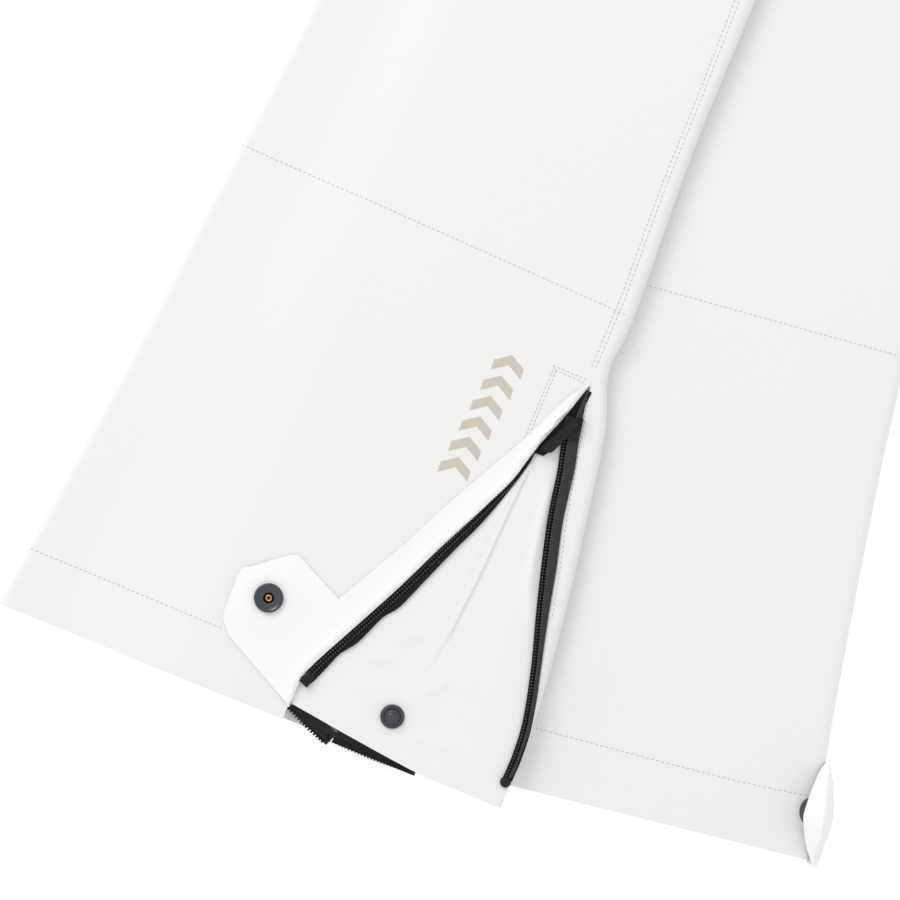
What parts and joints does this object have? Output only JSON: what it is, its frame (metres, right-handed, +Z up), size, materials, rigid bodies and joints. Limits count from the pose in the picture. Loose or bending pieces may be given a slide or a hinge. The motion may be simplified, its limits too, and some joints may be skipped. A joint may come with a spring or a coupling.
{
  "type": "ski pants",
  "caption": "Softshell ski pants laid flat and folded in half, with side leg zips, snap tabs, gaiters, fly and pocket zips.",
  "frame": {"origin": "on the surface the pants lie on, at the middle of their length and near the middle of their width", "axes": "+Y from the hems to the waist, +X from the centre front fold to the side seams, +Z up"},
  "size_m": [0.4577, 1.033, 0.0284],
  "materials": {
    "shell": "matte",
    "shell_light": "matte",
    "lining": "matte",
    "webbing": "matte",
    "zip_teeth": "satin",
    "snap": "satin",
    "print": "matte",
    "elastic": "matte"
  },
  "bodies": {
    "pants": {"belt_loops": "shell", "care_label": "lining", "centre_back_seam": "shell", "centre_front_seam": "shell", "fly_tape": "webbing", "left_back_panel": "shell", "left_boot_hook": "snap", "left_calf_panel": "shell", "left_flap_root": "shell_light", "left_front_panel": "shell", "left_gaiter": "lining", "left_gaiter_elastic": "elastic", "left_gaiter_zip": "webbing", "left_gusset": "lining", "left_inseam": "shell", "left_outseam": "shell", "left_placket": "shell", "left_pocket_tape": "webbing", "left_print": "print", "left_shin_panel": "shell", "left_snap_stud": "snap", "left_zip_back": "webbing", "left_zip_front": "webbing", "left_zip_stops": "zip_teeth", "right_back_panel": "shell", "right_boot_hook": "snap", "right_calf_panel": "shell", "right_front_panel": "shell", "right_gaiter": "lining", "right_gaiter_elastic": "elastic", "right_gusset": "lining", "right_inseam": "shell", "right_outseam": "shell", "right_pocket_tape": "webbing", "right_shin_panel": "shell", "right_zip_tape": "webbing", "waist_studs": "snap", "waist_tab_root": "shell", "waistband": "shell"},
    "storm_flap": {"left_storm_flap": "shell_light", "left_snap_socket": "snap"},
    "hem_tab": {"right_hem_tab": "shell_light", "right_snap_socket": "snap"},
    "closure_tab": {"waist_tab": "shell_light", "waist_sockets": "snap"},
    "side_zip_slider": {"left_zip_slider": "zip_teeth"},
    "side_zip_pull": {"left_zip_pull": "zip_teeth"},
    "fly_slider_body": {"fly_slider": "zip_teeth"},
    "fly_pull_body": {"fly_pull": "zip_teeth"},
    "left_pocket_slider_body": {"left_pocket_slider": "zip_teeth"},
    "left_pocket_pull_body": {"left_pocket_pull": "zip_teeth"},
    "right_pocket_slider_body": {"right_pocket_slider": "zip_teeth"},
    "right_pocket_pull_body": {"right_pocket_pull": "zip_teeth"},
    "right_zip_slider_body": {"right_zip_slider": "zip_teeth"},
    "right_zip_pull_body": {"right_zip_pull": "zip_teeth"}
  },
  "joints": [
    {"name": "storm_flap_fold", "type": "hinge", "parent": "pants", "child": "storm_flap", "pos_m": [-0.00868, -0.42077, 0.0236], "axis": [0.4223, 0.9064, 0], "range_deg": [0, 179]},
    {"name": "hem_tab_fold", "type": "hinge", "parent": "pants", "child": "hem_tab", "pos_m": [0.22788, -0.44276, 0.005], "axis": [-0.1275, 0.9918, 0], "range_deg": [0, 75]},
    {"name": "closure_tab_fold", "type": "hinge", "parent": "pants", "child": "closure_tab", "pos_m": [-0.062, 0.497, 0.0235], "axis": [0, 1, 0], "range_deg": [0, 165]},
    {"name": "side_zip_run", "type": "slide", "parent": "pants", "child": "side_zip_slider", "axis": [0.1234, -0.9924, 0], "range_m": [0, 0.165]},
    {"name": "side_zip_pull_lift", "type": "hinge", "parent": "side_zip_slider", "child": "side_zip_pull", "pos_m": [0.0448, -0.31845, 0.0239], "axis": [-0.9924, -0.1234, 0], "range_deg": [0, 165]},
    {"name": "fly_run", "type": "slide", "parent": "pants", "child": "fly_slider_body", "axis": [-0.3074, -0.9516, 0], "range_m": [0, 0.1166]},
    {"name": "fly_pull_lift", "type": "hinge", "parent": "fly_slider_body", "child": "fly_pull_body", "pos_m": [-0.09446, 0.46239, 0.0196], "axis": [-0.9516, 0.3074, 0], "range_deg": [0, 90]},
    {"name": "left_pocket_run", "type": "slide", "parent": "pants", "child": "left_pocket_slider_body", "axis": [-0.0533, -0.9986, 0], "range_m": [0, 0.1302]},
    {"name": "left_pocket_pull_lift", "type": "hinge", "parent": "left_pocket_slider_body", "child": "left_pocket_pull_body", "pos_m": [0.05757, 0.45401, 0.0197], "axis": [-0.9986, 0.0533, 0], "range_deg": [0, 90]},
    {"name": "right_pocket_run", "type": "slide", "parent": "pants", "child": "right_pocket_slider_body", "axis": [0.0797, -0.9968, 0], "range_m": [0, 0.1305]},
    {"name": "right_pocket_pull_lift", "type": "hinge", "parent": "right_pocket_slider_body", "child": "right_pocket_pull_body", "pos_m": [0.06064, 0.45403, 0.0007], "axis": [0.9968, 0.0797, 0], "range_deg": [0, 90]},
    {"name": "right_zip_run", "type": "slide", "parent": "pants", "child": "right_zip_slider_body", "axis": [0.1253, -0.9921, 0], "range_m": [0, 0.1715]},
    {"name": "right_zip_pull_lift", "type": "hinge", "parent": "right_zip_slider_body", "child": "right_zip_pull_body", "pos_m": [0.179, -0.30394, 0.0007], "axis": [0.9921, 0.1253, 0], "range_deg": [0, 90]}
  ]
}
